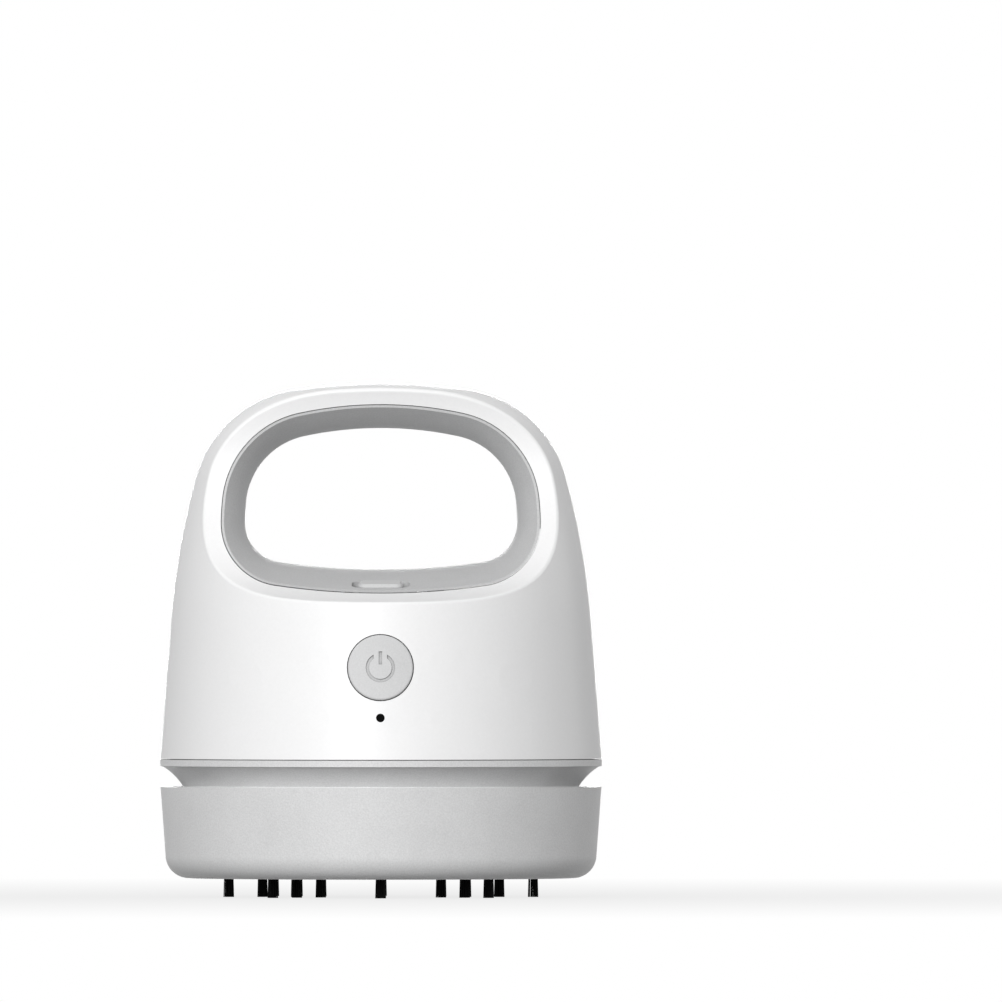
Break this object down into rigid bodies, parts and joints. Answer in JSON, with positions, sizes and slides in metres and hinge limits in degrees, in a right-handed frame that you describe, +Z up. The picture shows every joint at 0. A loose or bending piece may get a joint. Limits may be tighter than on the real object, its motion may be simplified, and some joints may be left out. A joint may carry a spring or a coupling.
{
  "type": "desktop mini vacuum cleaner",
  "caption": "Hand-sized desktop vacuum cleaner: bell-shaped housing with a loop handle over a round dust bowl that stands on a bristle brush; push button, slide switch and rear charging port.",
  "frame": {"origin": "on the axis of the round body, at the height of the brush tufts' tips, where the part stands", "axes": "+Z up along the body's axis, -Y towards the front with the round button, +X to the right seen from the front"},
  "size_m": [0.082, 0.082, 0.0956],
  "materials": {
    "shell_white": "white satin-gloss moulded ABS",
    "liner_grey": "mid-grey finely textured plastic",
    "base_grey": "mid-grey finely textured plastic",
    "button_grey": "light grey satin plastic",
    "lens_black": "smoked black light guide",
    "bristle_black": "black nylon bristle bundles",
    "inner_grey": "plain grey plastic",
    "inner_white": "natural white plastic",
    "inner_black": "black plastic",
    "seal_rubber": "black rubber",
    "filter_steel": "fine steel mesh",
    "filter_paper": "pleated filter paper",
    "motor_steel": "plated steel",
    "shaft_steel": "ground steel",
    "screw_steel": "zinc-plated steel",
    "switch_steel": "stamped steel",
    "magnet_black": "dark ferrite",
    "contact_brass": "plain brass",
    "cell_wrap": "blue shrink wrap",
    "board_green": "green solder mask",
    "led_white": "small diode body",
    "lead_red": "insulated wire"
  },
  "bodies": {
    "main_unit": {"front_shell": "shell_white", "rear_shell": "shell_white", "handle_liner": "liner_grey", "shell_screws": "screw_steel", "neck_ring": "base_grey", "neck_screws": "screw_steel", "fan_housing": "inner_white", "fan_screws": "screw_steel", "motor_screws": "screw_steel", "motor_can": "motor_steel", "motor_end_cap": "inner_black", "motor_terminals": "contact_brass", "motor_magnets": "magnet_black", "battery_cell": "cell_wrap", "battery_cradle": "inner_black", "main_board": "board_green", "board_screws": "screw_steel", "tact_switch": "inner_black", "indicator_lens": "lens_black", "indicator_led": "led_white", "slide_switch": "switch_steel", "switch_board": "board_green", "switch_screws": "screw_steel", "charge_board": "board_green", "charge_screws": "screw_steel", "usb_socket": "switch_steel", "motor_leads": "lead_red", "battery_leads": "lead_red"},
    "power_button": {"power_button": "button_grey", "tact_plunger": "inner_black"},
    "slide_knob": {"slide_knob": "button_grey"},
    "rotor": {"motor_shaft": "shaft_steel", "armature": "motor_steel", "impeller": "inner_white"},
    "filter_unit": {"filter_frame": "inner_grey", "filter_mesh": "filter_steel", "filter_pleats": "filter_paper"},
    "seal_ring": {"seal_ring": "seal_rubber"},
    "bowl_unit": {"dust_bowl": "base_grey", "brush_plate": "base_grey", "plate_screws": "screw_steel", "brush_tufts": "bristle_black", "inlet_riser": "inner_grey"}
  },
  "joints": [
    {"name": "button_press", "type": "slide", "parent": "main_unit", "child": "power_button", "axis": [0, 1, 0], "range_m": [0, 0.0006], "stiffness_N_per_m": 2500},
    {"name": "switch_slide", "type": "slide", "parent": "main_unit", "child": "slide_knob", "axis": [1, 0, 0], "range_m": [-0.001, 0.001]},
    {"name": "impeller_spin", "type": "hinge", "parent": "main_unit", "child": "rotor", "pos_m": [0, 0, 0.0245], "axis": [0, 0, 1], "continuous": true},
    {"name": "bowl_pull", "type": "slide", "parent": "bowl_unit", "child": "seal_ring", "axis": [0, 0, 1], "range_m": [0, 0.04]},
    {"name": "bowl_twist", "type": "hinge", "parent": "seal_ring", "child": "filter_unit", "pos_m": [0, 0, 0.01385], "axis": [0, 0, -1], "range_deg": [0, 22]},
    {"name": "filter_pull", "type": "slide", "parent": "filter_unit", "child": "main_unit", "axis": [0, 0, 1], "range_m": [0, 0.04]}
  ]
}
